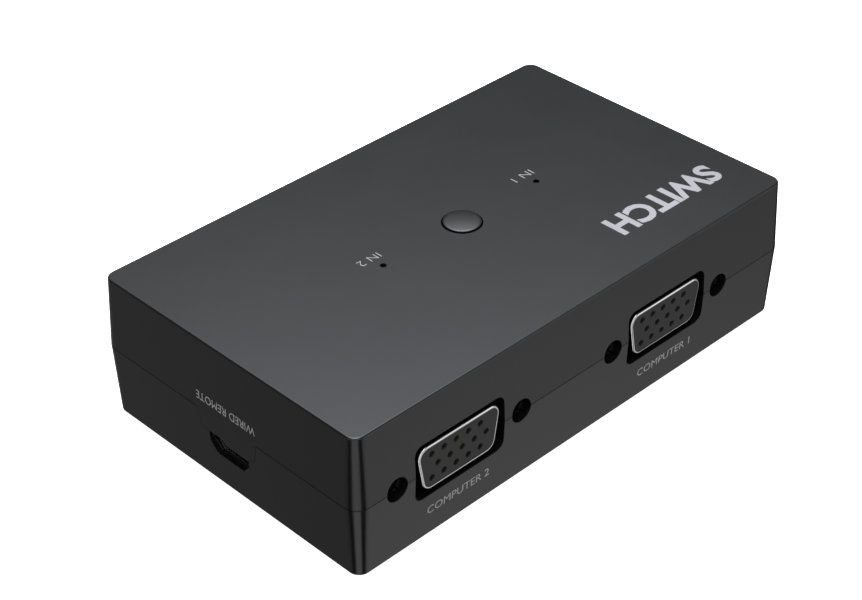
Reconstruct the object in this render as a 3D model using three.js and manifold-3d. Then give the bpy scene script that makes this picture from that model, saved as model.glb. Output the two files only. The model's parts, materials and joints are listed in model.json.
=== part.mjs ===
// A two-computer KVM switch: a two-part moulded case around one circuit board, with the video and
// USB sockets soldered to the board's edges and one push button on top.
// Millimetres, +Z up. The origin is on the surface that the feet stand on, under the case's centre.
// The -Y side holds the two computer video sockets, the +Y side the monitor, keyboard and mouse
// sockets, the +X side the two computer USB sockets and the -X side the remote control's socket.
import * as THREE from "three";
import { mergeVertices } from "three/addons/utils/BufferGeometryUtils.js";
import Module from "manifold-3d";

const wasm = await Module();
wasm.setup();

// ---------------------------------------------------------------- driving dimensions

// The case is widest at its parting line, and both halves narrow away from it.
const CASE_LENGTH = 94.3;
const CASE_WIDTH = 56.45;
const CASE_HEIGHT = 24.85;
const LOWER_HEIGHT = 12.55;
const DRAFT = 0.61;
const CORNER_RADIUS = 2.5;
const EDGE_RADIUS = 0.3;
const WALL = 2;
const SEAM = 0.12;

const FOOT_STAND = 0.4;
const CASE_BOTTOM = FOOT_STAND;
const CASE_TOP = CASE_BOTTOM + CASE_HEIGHT;
const PARTING = CASE_BOTTOM + LOWER_HEIGHT;
const FLOOR_TOP = CASE_BOTTOM + WALL;
const CEILING = CASE_TOP - WALL;

// The upper case's lip enters a rebate in the lower case, inside the seam.
const LIP_THICKNESS = 0.9;
const LIP_DEPTH = 1.4;
const LIP_ROOT = 1;
const LIP_GAP = 0.2;

const BOARD_LENGTH = 88.6;
const BOARD_WIDTH = 41.6;
const BOARD_CORNER = 1;
const BOARD_THICKNESS = 1.6;
const BOARD_TOP = CASE_BOTTOM + 6.6;
const BOARD_BOTTOM = BOARD_TOP - BOARD_THICKNESS;

// High-density D-sub socket with 15 contacts, standard shell and hole pattern.
const VGA_MOUTH_DEPTH = 0.3;
const VGA_SHELL_WIDTH = 16.95;
const VGA_SHELL_HEIGHT = 7.9;
const VGA_SLANT = THREE.MathUtils.degToRad(10);
const VGA_CORNER = 1.8;
const VGA_METAL = 0.35;
const VGA_REACH = 6;
const VGA_FLANGE_WIDTH = 30.8;
const VGA_FLANGE_HEIGHT = 12.5;
const VGA_FLANGE_CORNER = 0.8;
const VGA_FLANGE_THICKNESS = 0.8;
const VGA_HOUSING_DEPTH = 8;
const VGA_FACE_RECESS = 0.05;
const VGA_PITCH = 2.43;
const VGA_ROW_SPACING = 2.14;
const VGA_COLUMNS = 5;
const VGA_CONTACT_RADIUS = 0.56;
const VGA_CONTACT_DEPTH = 5;
const VGA_CLEARANCE = 0.06;
const JACK_SPACING = 24.99;
const JACK_HEX = 4.75;
const JACK_HEX_LENGTH = 4;
const JACK_THREAD_RADIUS = 1.3;
const JACK_THREAD_DEPTH = 3.6;
const JACK_SHANK_RADIUS = 1.4;
const JACK_SHANK_LENGTH = 5;
const JACK_HOLE_RADIUS = 1.6;
const JACK_WINDOW_RADIUS = 2;
const VGA_WINDOW_WIDTH = 17.95;
const VGA_WINDOW_HEIGHT = 9.85;
const VGA_WINDOW_CORNER = 1.5;
const VGA_INPUT_X = [18.28, -26.83];
const VGA_OUTPUT_X = 27.6;

// USB type A socket, single.
const USB_A_X = [-1.4, -16.2, -31];
const USB_A_WIDTH = 13.1;
const USB_A_HEIGHT = 5.7;
const USB_A_LENGTH = 14;
const USB_A_METAL = 0.3;
const USB_A_CORNER = 0.6;
const USB_A_TONGUE_WIDTH = 11.1;
const USB_A_TONGUE_THICKNESS = 1.84;
const USB_A_TONGUE_DROP = 0.5;
const USB_A_TONGUE_RECESS = 1.4;
const USB_A_BLOCK_LENGTH = 4;
const USB_A_MARGIN = 0.25;

// USB type B socket.
const USB_B_Y = [-6.6, 6.4];
const USB_B_WIDTH = 12;
const USB_B_HEIGHT = 10.9;
const USB_B_LENGTH = 16;
const USB_B_METAL = 0.4;
const USB_B_MOUTH_WIDTH = 8.45;
const USB_B_MOUTH_HEIGHT = 7.78;
const USB_B_MOUTH_CHAMFER = 1.7;
const USB_B_MOUTH_DEPTH = 10;
const USB_B_TONGUE_WIDTH = 5.6;
const USB_B_TONGUE_HEIGHT = 3.2;
const USB_B_TONGUE_RECESS = 1.2;
const USB_B_MARGIN = 0.25;
const USB_B_MOUTH_INSET = 0.2;

// Micro USB type B socket of the remote control, sunk into a notch in the board's edge.
const MICRO_Y = -0.67;
const MICRO_SINK = 0.8;
const MICRO_MOUTH_X = -CASE_LENGTH / 2 + 1.5;
const MICRO_TOP_WIDTH = 7.5;
const MICRO_BOTTOM_WIDTH = 5.4;
const MICRO_SIDE_HEIGHT = 1.35;
const MICRO_HEIGHT = 2.5;
const MICRO_LENGTH = 5;
const MICRO_METAL = 0.25;
const MICRO_TONGUE_WIDTH = 3.7;
const MICRO_TONGUE_THICKNESS = 0.6;
const MICRO_TONGUE_RECESS = 0.8;
const MICRO_BLOCK_LENGTH = 1.2;
const MICRO_WING = [1.5, 3.5];
const MICRO_WING_SPAN = 9.8;
const MICRO_NOTCH_WIDTH = 7;
const MICRO_WINDOW_WIDTH = 8.76;
const MICRO_WINDOW_BOTTOM_WIDTH = 5.9;
const MICRO_WINDOW_TOP = CASE_BOTTOM + 9.2;
const MICRO_WINDOW_SIDE = CASE_BOTTOM + 7.3;
const MICRO_WINDOW_BOTTOM = CASE_BOTTOM + 5.7;

// The upper case reaches down to this window in a tapered tab, with a shallow lip at its foot.
const TAB_Y = -0.6;
const TAB_TOP_WIDTH = 13.1;
const TAB_BOTTOM_WIDTH = 11.6;
const TAB_LIP = [-5.05, 0];
const TAB_LIP_DROP = 0.8;
const TAB_SEAM = 0.05;

// Push button, the tact switch under it, and the two indicators beside it.
const BUTTON_X = 1.75;
const BUTTON_RADIUS = 3.05;
const BUTTON_HOLE_RADIUS = 3.3;
const BUTTON_RISE = 0.25;
const BUTTON_CROWN = 0.15;
const BUTTON_FLANGE_RADIUS = 4.2;
const BUTTON_FLANGE_THICKNESS = 1;
const BUTTON_STEM_RADIUS = 1.9;
const COLLAR_INNER_RADIUS = 4.5;
const COLLAR_OUTER_RADIUS = 5.6;
const COLLAR_LENGTH = 3.6;
const SWITCH_SIZE = 6;
const SWITCH_BODY_HEIGHT = 3.4;
const SWITCH_FLOOR = 0.8;
const SWITCH_WELL_RADIUS = 2.3;
const SWITCH_COVER_THICKNESS = 0.25;
const SWITCH_COVER_HOLE = 1.85;
const PLUNGER_RADIUS = 1.7;
const PLUNGER_FOOT_RADIUS = 2.1;
const PLUNGER_FOOT_BOTTOM = 2;
const PLUNGER_FOOT_HEIGHT = 0.9;
const PLUNGER_HEIGHT = 7;
const DOME_RADIUS = 2.1;
const DOME_RISE = 1;
const DOME_THICKNESS = 0.12;
const TOUCH_GAP = 0.05;
const INDICATOR_SPREAD = 16.8;
const INDICATOR_HOLE_RADIUS = 0.55;
const PIPE_RADIUS = 1.2;
const PIPE_SLEEVE_INNER = 1.35;
const PIPE_SLEEVE_OUTER = 2.3;
const PIPE_SLEEVE_LENGTH = 6;
const PIPE_END_GAP = 0.4;
const LED_SIZE = [2, 1.25, 0.8];

// Screw posts join the halves beside the board, and short standoffs carry the board.
const POST_PLACES = [
  [-4.3, -24],
  [40.2, -24],
  [8.7, 24],
  [-42, 24],
];
const POST_RADIUS = 2.9;
const POST_TOP = 13.9;
const BOSS_RADIUS = 2.6;
const SCREW_RECESS_RADIUS = 2.3;
const SCREW_RECESS_DEPTH = 5.4;
const SCREW_CLEARANCE_RADIUS = 1.45;
const SCREW_PILOT_RADIUS = 1.2;
const SCREW_PILOT_DEPTH = 7.5;
const SCREW_RADIUS = 1.15;
const SCREW_LENGTH = 14.5;
const SCREW_HEAD_RADIUS = 2.1;
const SCREW_HEAD_HEIGHT = 1.6;
const STANDOFF_PLACES = [
  [-40, 9],
  [-4.3, -17.4],
  [24, 8.5],
];
const STANDOFF_RADIUS = 2.5;
const STANDOFF_PILOT_RADIUS = 0.95;
const BOARD_HOLE_RADIUS = 1.3;
const BOARD_SCREW_RADIUS = 0.9;
const BOARD_SCREW_LENGTH = 3.8;
const BOARD_SCREW_HEAD_RADIUS = 1.9;
const BOARD_SCREW_HEAD_HEIGHT = 1.2;

const FOOT_X = 36;
const FOOT_Y = 17.5;
const FOOT_RADIUS = 4;
const FOOT_RECESS_RADIUS = 4.3;
const FOOT_RECESS_DEPTH = 0.8;
const FOOT_EDGE = 0.3;

const CASE_CORNER_STEPS = 4;
const WINDOW_CORNER_STEPS = 3;
const SMALL_CORNER_STEPS = 1;
const EDGE_STEPS = 3;
const ROUND_STEPS = 20;
const HIDDEN_STEPS = 12;
const CONTACT_STEPS = 8;
const HEX_STEPS = 6;
const WINDOW_STEPS = 28;
const BUTTON_STEPS = 32;
const CROWN_STEPS = 6;
const THROUGH = 8;

// ---------------------------------------------------------------- materials

function finish(color, roughness, metalness = 0) {
  return new THREE.MeshStandardMaterial({ color, roughness, metalness });
}

const casePlastic = finish(0x3b3c3e, 0.45);
const buttonPlastic = finish(0x46474a, 0.4);
const rubber = finish(0x161616, 0.9);
const steel = finish(0xb9bbbf, 0.3, 1);
const nickel = finish(0xc9cbd0, 0.25, 1);
const darkInsulator = finish(0x33332f, 0.6);
const blackInsulator = finish(0x111112, 0.6);
const boardGreen = finish(0x14402c, 0.5);
const chipBlack = finish(0x1b1b1d, 0.55);
const clearPlastic = finish(0xe4e9ec, 0.2);
const ledWhite = finish(0xf0ead2, 0.4);
const zinc = finish(0x8d9095, 0.35, 1);

// ---------------------------------------------------------------- solids and outlines

// A closed geometry as a solid that can be joined and cut.
function solid(geometry) {
  const bare = geometry.clone();
  bare.deleteAttribute("normal");
  bare.deleteAttribute("uv");
  const merged = mergeVertices(bare, 1e-4);
  const vertProperties = new Float32Array(merged.attributes.position.array);
  const triVerts = new Uint32Array(merged.index.array);
  return new wasm.Manifold(new wasm.Mesh({ numProp: 3, vertProperties, triVerts }));
}

function geometryOf(shape) {
  const { vertProperties, triVerts } = shape.getMesh();
  const geometry = new THREE.BufferGeometry();
  geometry.setAttribute("position", new THREE.BufferAttribute(vertProperties, 3));
  geometry.setIndex(new THREE.BufferAttribute(triVerts, 1));
  geometry.computeVertexNormals();
  return geometry;
}

function piece(name, shape, material) {
  const mesh = new THREE.Mesh(geometryOf(shape), material);
  mesh.name = name;
  return mesh;
}

const cutAll = (shape, tools) => tools.reduce((rest, tool) => rest.subtract(tool), shape);
const joinAll = (shapes) => shapes.reduce((whole, shape) => whole.add(shape));

// Closed outline through the corners, counter-clockwise, each corner an arc of the given radius.
function roundedPolygon(corners, radius) {
  const shape = new THREE.Shape();
  corners.forEach((corner, i) => {
    const toLast = corners.at(i - 1).clone().sub(corner).normalize();
    const toNext = corners[(i + 1) % corners.length].clone().sub(corner).normalize();
    const half = toLast.angleTo(toNext) / 2;
    const inward = toLast.clone().add(toNext).normalize();
    const centre = inward.multiplyScalar(radius / Math.sin(half)).add(corner);
    const reach = radius / Math.tan(half);
    const start = toLast.multiplyScalar(reach).add(corner).sub(centre);
    const end = toNext.multiplyScalar(reach).add(corner).sub(centre);
    shape.absarc(centre.x, centre.y, radius, start.angle(), end.angle());
  });
  return shape;
}

function polygon(corners) {
  return new THREE.Shape(corners);
}

function rectangleCorners(width, height) {
  const x = width / 2;
  const y = height / 2;
  return [
    new THREE.Vector2(-x, -y),
    new THREE.Vector2(x, -y),
    new THREE.Vector2(x, y),
    new THREE.Vector2(-x, y),
  ];
}

const roundedRectangle = (width, height, radius) =>
  roundedPolygon(rectangleCorners(width, height), radius);

// Corners of an outline that is symmetric across its vertical axis, from half widths and heights
// listed from the bottom up.
function mirroredCorners(rows, centre = 0) {
  const right = rows.map(([half, height]) => new THREE.Vector2(centre + half, height));
  const left = rows.map(([half, height]) => new THREE.Vector2(centre - half, height));
  return [...right, ...left.reverse()];
}

// Prisms of an outline: drawn in X and Y along Z, in X and Z along Y, and in Y and Z along X.
function prism(shape, low, high, curveSegments) {
  const settings = { depth: high - low, bevelEnabled: false, curveSegments };
  return new THREE.ExtrudeGeometry(shape, settings).translate(0, 0, low);
}

function prismZ(shape, low, high, steps = SMALL_CORNER_STEPS) {
  return solid(prism(shape, low, high, steps));
}

function prismY(shape, low, high, steps = SMALL_CORNER_STEPS) {
  return solid(prism(shape, -high, -low, steps).rotateX(Math.PI / 2));
}

function prismX(shape, low, high, steps = SMALL_CORNER_STEPS) {
  return solid(prism(shape, low, high, steps).rotateX(Math.PI / 2).rotateZ(Math.PI / 2));
}

function block([x0, x1], [y0, y1], [z0, z1]) {
  const geometry = new THREE.BoxGeometry(x1 - x0, y1 - y0, z1 - z0);
  return solid(geometry.translate((x0 + x1) / 2, (y0 + y1) / 2, (z0 + z1) / 2));
}

// Cylinder standing along Z, and one lying along Y.
function post(radius, low, high, [x, y] = [0, 0], steps = HIDDEN_STEPS) {
  const geometry = new THREE.CylinderGeometry(radius, radius, high - low, steps);
  return solid(geometry.rotateX(Math.PI / 2).translate(x, y, (low + high) / 2));
}

function bar(radius, low, high, [x, z] = [0, 0], steps = HIDDEN_STEPS) {
  const geometry = new THREE.CylinderGeometry(radius, radius, high - low, steps);
  return solid(geometry.translate(x, (low + high) / 2, z));
}

// Solid of revolution about Z from [radius, height] pairs that start and end on the axis.
function turned(profile, steps = HIDDEN_STEPS) {
  const points = profile.map(([radius, height]) => new THREE.Vector2(radius, height));
  return solid(new THREE.LatheGeometry(points, steps).rotateX(Math.PI / 2));
}

// Solid through closed outlines with equal numbers of points, stacked from the bottom up.
function loft(levels) {
  const count = levels[0].points.length;
  const position = levels.flatMap(({ points, z }) => points.flatMap(({ x, y }) => [x, y, z]));
  const index = [];
  for (let level = 0; level + 1 < levels.length; level++) {
    for (let i = 0; i < count; i++) {
      const a = level * count + i;
      const b = level * count + ((i + 1) % count);
      index.push(a, b, b + count, a, b + count, a + count);
    }
  }
  const last = (levels.length - 1) * count;
  for (const [a, b, c] of THREE.ShapeUtils.triangulateShape(levels[0].points, [])) {
    index.push(c, b, a, last + a, last + b, last + c);
  }
  const geometry = new THREE.BufferGeometry();
  geometry.setAttribute("position", new THREE.Float32BufferAttribute(position, 3));
  geometry.setIndex(index);
  return solid(geometry);
}

// ---------------------------------------------------------------- case

// The case's plan outline, moved inwards from the parting line's.
function casePoints(inset, steps) {
  const radius = Math.max(CORNER_RADIUS - inset, EDGE_RADIUS);
  const shape = roundedRectangle(CASE_LENGTH - 2 * inset, CASE_WIDTH - 2 * inset, radius);
  return shape.getPoints(steps);
}

// How far the drafted outer wall stands in from the parting line's outline at a height.
function draftAt(z) {
  const span = z > PARTING ? CASE_TOP - PARTING : PARTING - CASE_BOTTOM;
  return (DRAFT * Math.abs(z - PARTING)) / span;
}

function outerLevel(z, inset = 0) {
  return { z, points: casePoints(draftAt(z) + inset, CASE_CORNER_STEPS) };
}

function innerLevel(z) {
  return { z, points: casePoints(draftAt(z) + WALL, SMALL_CORNER_STEPS) };
}

// Rounded edge between the wall and the top or the underside, from the flat face to the wall.
function edgeLevels(faceZ, inwards) {
  const steps = Array.from({ length: EDGE_STEPS + 1 }, (_, i) => i / EDGE_STEPS);
  return steps.map((step) => {
    const angle = (step * Math.PI) / 2;
    const z = faceZ + inwards * EDGE_RADIUS * (1 - Math.cos(angle));
    return outerLevel(z, EDGE_RADIUS * (1 - Math.sin(angle)));
  });
}

function caseSkin() {
  const outside = loft([
    ...edgeLevels(CASE_BOTTOM, 1),
    outerLevel(PARTING),
    ...edgeLevels(CASE_TOP, -1).reverse(),
  ]);
  const inside = loft([FLOOR_TOP, PARTING, CEILING].map(innerLevel));
  return outside.subtract(inside);
}

// Ring inside the parting line between two insets and two heights.
function lipRing(outerInset, innerInset, low, high) {
  const ring = (inset) =>
    [low, high].map((z) => ({ z, points: casePoints(inset, SMALL_CORNER_STEPS) }));
  return loft(ring(outerInset)).subtract(loft(ring(innerInset)));
}

const wholeCase = ([z0, z1]) =>
  block([-CASE_LENGTH, CASE_LENGTH], [-CASE_WIDTH, CASE_WIDTH], [z0, z1]);

// The upper case's tab, grown sideways and downwards by the margin. The ends of its lip slope at
// 45 degrees.
function tabPrism(margin, top) {
  const bottom = MICRO_WINDOW_TOP - margin;
  const halfBottom = TAB_BOTTOM_WIDTH / 2 + margin;
  const halfTop = TAB_TOP_WIDTH / 2 + margin;
  const sides = mirroredCorners([[halfBottom, bottom], [halfTop, PARTING], [halfTop, top]], TAB_Y);
  const [lipStart, lipEnd] = TAB_LIP;
  const lip = [
    new THREE.Vector2(lipStart - TAB_LIP_DROP, bottom),
    new THREE.Vector2(lipStart, bottom - TAB_LIP_DROP),
    new THREE.Vector2(lipEnd, bottom - TAB_LIP_DROP),
    new THREE.Vector2(lipEnd + TAB_LIP_DROP, bottom),
  ];
  const outline = polygon([...sides, ...lip]);
  return prismX(outline, -CASE_LENGTH / 2 - 1, -CASE_LENGTH / 2 + WALL + DRAFT);
}

function microWindow() {
  const rows = [
    [MICRO_WINDOW_BOTTOM_WIDTH / 2, MICRO_WINDOW_BOTTOM],
    [MICRO_WINDOW_WIDTH / 2, MICRO_WINDOW_SIDE],
    [MICRO_WINDOW_WIDTH / 2, MICRO_WINDOW_TOP],
  ];
  const shape = roundedPolygon(mirroredCorners(rows, MICRO_Y), EDGE_RADIUS);
  return prismX(shape, -CASE_LENGTH / 2 - 1, -CASE_LENGTH / 2 + THROUGH, WINDOW_CORNER_STEPS);
}

// Openings of one video socket in a side wall: the shell's window and the two jack nut holes.
function vgaWindows(x, low, high) {
  const window = roundedRectangle(VGA_WINDOW_WIDTH, VGA_WINDOW_HEIGHT, VGA_WINDOW_CORNER);
  const jacks = [-1, 1].map((side) =>
    bar(JACK_WINDOW_RADIUS, low, high, [x + (side * JACK_SPACING) / 2, PARTING], WINDOW_STEPS),
  );
  return [prismY(window, low, high, WINDOW_CORNER_STEPS).translate([x, 0, PARTING]), ...jacks];
}

function sideOpenings() {
  const front = [-CASE_WIDTH / 2 - 1, -CASE_WIDTH / 2 + THROUGH / 2];
  const back = [CASE_WIDTH / 2 - THROUGH / 2, CASE_WIDTH / 2 + 1];
  const right = [CASE_LENGTH / 2 - THROUGH / 2, CASE_LENGTH / 2 + 1];
  const typeA = roundedRectangle(
    USB_A_WIDTH + 2 * USB_A_MARGIN,
    USB_A_HEIGHT + 2 * USB_A_MARGIN,
    USB_A_CORNER,
  );
  const typeB = roundedRectangle(
    USB_B_WIDTH + 2 * USB_B_MARGIN,
    USB_B_HEIGHT + 2 * USB_B_MARGIN,
    USB_A_CORNER,
  );
  return [
    ...VGA_INPUT_X.flatMap((x) => vgaWindows(x, ...front)),
    ...vgaWindows(VGA_OUTPUT_X, ...back),
    ...USB_A_X.map((x) => prismY(typeA, ...back).translate([x, 0, BOARD_TOP + USB_A_HEIGHT / 2])),
    ...USB_B_Y.map((y) => prismX(typeB, ...right).translate([0, y, BOARD_TOP + USB_B_HEIGHT / 2])),
  ];
}

const indicatorPlaces = [-1, 1].map((side) => [BUTTON_X + side * INDICATOR_SPREAD, 0]);

function upperCase() {
  const region = wholeCase([PARTING + SEAM / 2, CASE_TOP + 1]);
  const tab = tabPrism(0, PARTING + SEAM).intersect(caseSkin());
  const lip = lipRing(WALL - LIP_THICKNESS, WALL, PARTING - LIP_DEPTH, PARTING + LIP_ROOT);
  const bosses = POST_PLACES.map((place) =>
    post(BOSS_RADIUS, POST_TOP, CEILING + WALL / 2, place),
  );
  const collar = post(COLLAR_OUTER_RADIUS, CEILING - COLLAR_LENGTH, CEILING + 1, [BUTTON_X, 0]);
  const sleeves = indicatorPlaces.map((place) =>
    post(PIPE_SLEEVE_OUTER, CEILING - PIPE_SLEEVE_LENGTH, CEILING + 1, place),
  );
  const body = joinAll([region.intersect(caseSkin()), tab, lip, ...bosses, collar, ...sleeves]);
  return cutAll(body, [
    ...sideOpenings(),
    ...POST_PLACES.map((place) =>
      post(SCREW_PILOT_RADIUS, POST_TOP - 1, POST_TOP + SCREW_PILOT_DEPTH, place),
    ),
    post(COLLAR_INNER_RADIUS, CEILING - THROUGH, CEILING, [BUTTON_X, 0], BUTTON_STEPS),
    post(BUTTON_HOLE_RADIUS, CEILING - 1, CASE_TOP + 1, [BUTTON_X, 0], BUTTON_STEPS),
    ...indicatorPlaces.map((place) => post(PIPE_SLEEVE_INNER, CEILING - THROUGH, CEILING, place)),
    ...indicatorPlaces.map((place) =>
      post(INDICATOR_HOLE_RADIUS, CEILING - 1, CASE_TOP + 1, place),
    ),
  ]);
}

function lowerCase() {
  const region = wholeCase([0, PARTING - SEAM / 2]);
  const rebate = lipRing(
    WALL - LIP_THICKNESS - LIP_GAP,
    WALL + LIP_GAP,
    PARTING - LIP_DEPTH - LIP_GAP,
    PARTING + 1,
  );
  const posts = POST_PLACES.map((place) => post(POST_RADIUS, CASE_BOTTOM, POST_TOP, place));
  const standoffs = STANDOFF_PLACES.map((place) =>
    post(STANDOFF_RADIUS, CASE_BOTTOM + WALL / 2, BOARD_BOTTOM, place),
  );
  const shell = cutAll(region.intersect(caseSkin()), [rebate, tabPrism(TAB_SEAM, PARTING + 1)]);
  const postClearance = lipRing(0, WALL - LIP_THICKNESS - LIP_GAP, PARTING - LIP_DEPTH - 1, PARTING + 1);
  const trimmedPosts = posts.map((item) => cutAll(item, [rebate, postClearance]));
  return cutAll(joinAll([shell, ...trimmedPosts, ...standoffs]), [
    ...sideOpenings(),
    microWindow(),
    ...POST_PLACES.flatMap((place) => [
      post(SCREW_RECESS_RADIUS, CASE_BOTTOM - 1, CASE_BOTTOM + SCREW_RECESS_DEPTH, place, ROUND_STEPS),
      post(SCREW_CLEARANCE_RADIUS, CASE_BOTTOM, POST_TOP + 1, place),
    ]),
    ...STANDOFF_PLACES.map((place) => post(STANDOFF_PILOT_RADIUS, FLOOR_TOP, BOARD_TOP, place)),
    ...footPlaces.map((place) =>
      post(FOOT_RECESS_RADIUS, CASE_BOTTOM - 1, CASE_BOTTOM + FOOT_RECESS_DEPTH, place, ROUND_STEPS),
    ),
  ]);
}

const footPlaces = [-1, 1].flatMap((sideX) =>
  [-1, 1].map((sideY) => [sideX * FOOT_X, sideY * FOOT_Y]),
);

function foot() {
  const top = FOOT_STAND + FOOT_RECESS_DEPTH;
  return turned(
    [
      [0, 0],
      [FOOT_RADIUS - FOOT_EDGE, 0],
      [FOOT_RADIUS, FOOT_EDGE],
      [FOOT_RADIUS, top],
      [0, top],
    ],
    ROUND_STEPS,
  );
}

// ---------------------------------------------------------------- fasteners

// Pan-head screw, head down, with a cross recess; its origin is under the head's bearing face.
function screw(radius, length, headRadius, headHeight) {
  const crown = headHeight / 3;
  const body = turned([
    [0, -headHeight],
    [headRadius - crown, -headHeight],
    [headRadius, -headHeight + crown],
    [headRadius, 0],
    [radius, 0],
    [radius, length - radius],
    [0, length],
  ]);
  const reach = headRadius * 0.55;
  const slot = headRadius * 0.13;
  const deep = [-headHeight - 1, -headHeight * 0.45];
  const recess = [
    block([-reach, reach], [-slot, slot], deep),
    block([-slot, slot], [-reach, reach], deep),
  ];
  return cutAll(body, recess);
}

function caseScrew() {
  return screw(SCREW_RADIUS, SCREW_LENGTH, SCREW_HEAD_RADIUS, SCREW_HEAD_HEIGHT);
}

// Board screws enter from above, so they are the same form turned over.
function boardScrew() {
  const upright = screw(
    BOARD_SCREW_RADIUS,
    BOARD_SCREW_LENGTH,
    BOARD_SCREW_HEAD_RADIUS,
    BOARD_SCREW_HEAD_HEIGHT,
  );
  return upright.rotate([180, 0, 0]);
}

// ---------------------------------------------------------------- sockets
// Each socket is drawn with its mouth at Y = 0 facing -Y and its opening's centre on the axis.

// The D outline, moved inwards, wide side up.
function dOutline(inset) {
  const halfHeight = VGA_SHELL_HEIGHT / 2 - inset;
  const middle = (VGA_SHELL_WIDTH - VGA_SHELL_HEIGHT * Math.tan(VGA_SLANT)) / 2;
  const half = (z) => middle - inset / Math.cos(VGA_SLANT) + z * Math.tan(VGA_SLANT);
  const rows = [-halfHeight, halfHeight].map((z) => [half(z), z]);
  return roundedPolygon(mirroredCorners(rows), VGA_CORNER - inset);
}

function jackPlaces() {
  return [-1, 1].map((side) => [(side * JACK_SPACING) / 2, 0]);
}

function vgaShell() {
  const flange = roundedRectangle(VGA_FLANGE_WIDTH, VGA_FLANGE_HEIGHT, VGA_FLANGE_CORNER);
  const back = VGA_REACH + VGA_FLANGE_THICKNESS;
  const tube = prismY(dOutline(0), 0, VGA_REACH + VGA_FLANGE_THICKNESS / 2, WINDOW_CORNER_STEPS);
  return cutAll(tube.add(prismY(flange, VGA_REACH, back)), [
    prismY(dOutline(VGA_METAL), -1, back + 1, WINDOW_CORNER_STEPS),
    ...jackPlaces().map((place) => bar(JACK_HOLE_RADIUS, VGA_REACH - 1, back + 1, place)),
  ]);
}

// Centres of the 15 contact holes: the middle row is shifted by half a pitch.
function contactPlaces() {
  const rows = [-1, 0, 1];
  return rows.flatMap((row) => {
    const shift = row === 0 ? VGA_PITCH / 4 : -VGA_PITCH / 4;
    return Array.from({ length: VGA_COLUMNS }, (_, column) => [
      (column - (VGA_COLUMNS - 1) / 2) * VGA_PITCH + shift,
      row * VGA_ROW_SPACING,
    ]);
  });
}

function vgaInsulator() {
  const housingFront = VGA_REACH + VGA_FLANGE_THICKNESS;
  const housingBack = housingFront + VGA_HOUSING_DEPTH;
  const nose = prismY(
    dOutline(VGA_METAL + VGA_CLEARANCE),
    VGA_FACE_RECESS,
    housingFront + 1,
    WINDOW_CORNER_STEPS,
  );
  const half = VGA_FLANGE_WIDTH / 2;
  const housing = block(
    [-half, half],
    [housingFront, housingBack],
    [BOARD_TOP - PARTING, VGA_FLANGE_HEIGHT / 2],
  );
  const contactEnd = VGA_FACE_RECESS + VGA_CONTACT_DEPTH;
  return cutAll(nose.add(housing), [
    ...contactPlaces().map((place) => bar(VGA_CONTACT_RADIUS, -1, contactEnd, place, CONTACT_STEPS)),
    ...jackPlaces().map((place) =>
      bar(JACK_HOLE_RADIUS, housingFront - 1, VGA_REACH + JACK_SHANK_LENGTH + 1, place),
    ),
  ]);
}

// Hex jack nut: threaded from its face, with a shank that goes through the flange.
function jackNut() {
  const face = VGA_REACH - JACK_HEX_LENGTH;
  const hex = bar(JACK_HEX / Math.sqrt(3), face, VGA_REACH - TOUCH_GAP, [0, 0], HEX_STEPS);
  const shank = bar(JACK_SHANK_RADIUS, VGA_REACH - 1, VGA_REACH + JACK_SHANK_LENGTH);
  const thread = bar(JACK_THREAD_RADIUS, face - 1, face + JACK_THREAD_DEPTH);
  return hex.add(shank).subtract(thread);
}

function vgaSocket(name) {
  const group = new THREE.Group();
  group.add(piece(`${name}_shell`, vgaShell(), nickel));
  group.add(piece(`${name}_insulator`, vgaInsulator(), darkInsulator));
  ["left", "right"].forEach((side, i) => {
    const nut = piece(`${name}_jack_nut_${side}`, jackNut(), nickel);
    const [x, z] = jackPlaces()[i];
    nut.position.set(x, 0, z);
    group.add(nut);
  });
  return group;
}

// A can open at its mouth and closed at its back.
function can(outer, inner, length, metal) {
  return prismY(outer, 0, length).subtract(prismY(inner, -1, length - metal));
}

function usbASocket(name) {
  const outer = roundedRectangle(USB_A_WIDTH, USB_A_HEIGHT, USB_A_CORNER);
  const innerWidth = USB_A_WIDTH - 2 * USB_A_METAL;
  const innerHeight = USB_A_HEIGHT - 2 * USB_A_METAL;
  const inner = roundedRectangle(innerWidth, innerHeight, USB_A_CORNER - USB_A_METAL);
  const back = USB_A_LENGTH - USB_A_METAL - TOUCH_GAP;
  const halfBlock = innerWidth / 2 - USB_A_METAL;
  const tongueTop = innerHeight / 2 - USB_A_TONGUE_DROP;
  const halfTongue = USB_A_TONGUE_WIDTH / 2;
  const tongue = block(
    [-halfTongue, halfTongue],
    [USB_A_TONGUE_RECESS, back],
    [tongueTop - USB_A_TONGUE_THICKNESS, tongueTop],
  );
  const blockHeight = innerHeight / 2 - USB_A_METAL;
  const base = block(
    [-halfBlock, halfBlock],
    [back - USB_A_BLOCK_LENGTH, back],
    [-blockHeight, blockHeight],
  );
  const group = new THREE.Group();
  group.add(piece(`${name}_shell`, can(outer, inner, USB_A_LENGTH, USB_A_METAL), nickel));
  group.add(piece(`${name}_tongue`, tongue.add(base), blackInsulator));
  return group;
}

// Type B mouth: a square with its two upper corners cut off.
function usbBMouth() {
  const halfWidth = USB_B_MOUTH_WIDTH / 2;
  const halfHeight = USB_B_MOUTH_HEIGHT / 2;
  return polygon(
    mirroredCorners([
      [halfWidth, -halfHeight],
      [halfWidth, halfHeight - USB_B_MOUTH_CHAMFER],
      [halfWidth - USB_B_MOUTH_CHAMFER, halfHeight],
    ]),
  );
}

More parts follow.
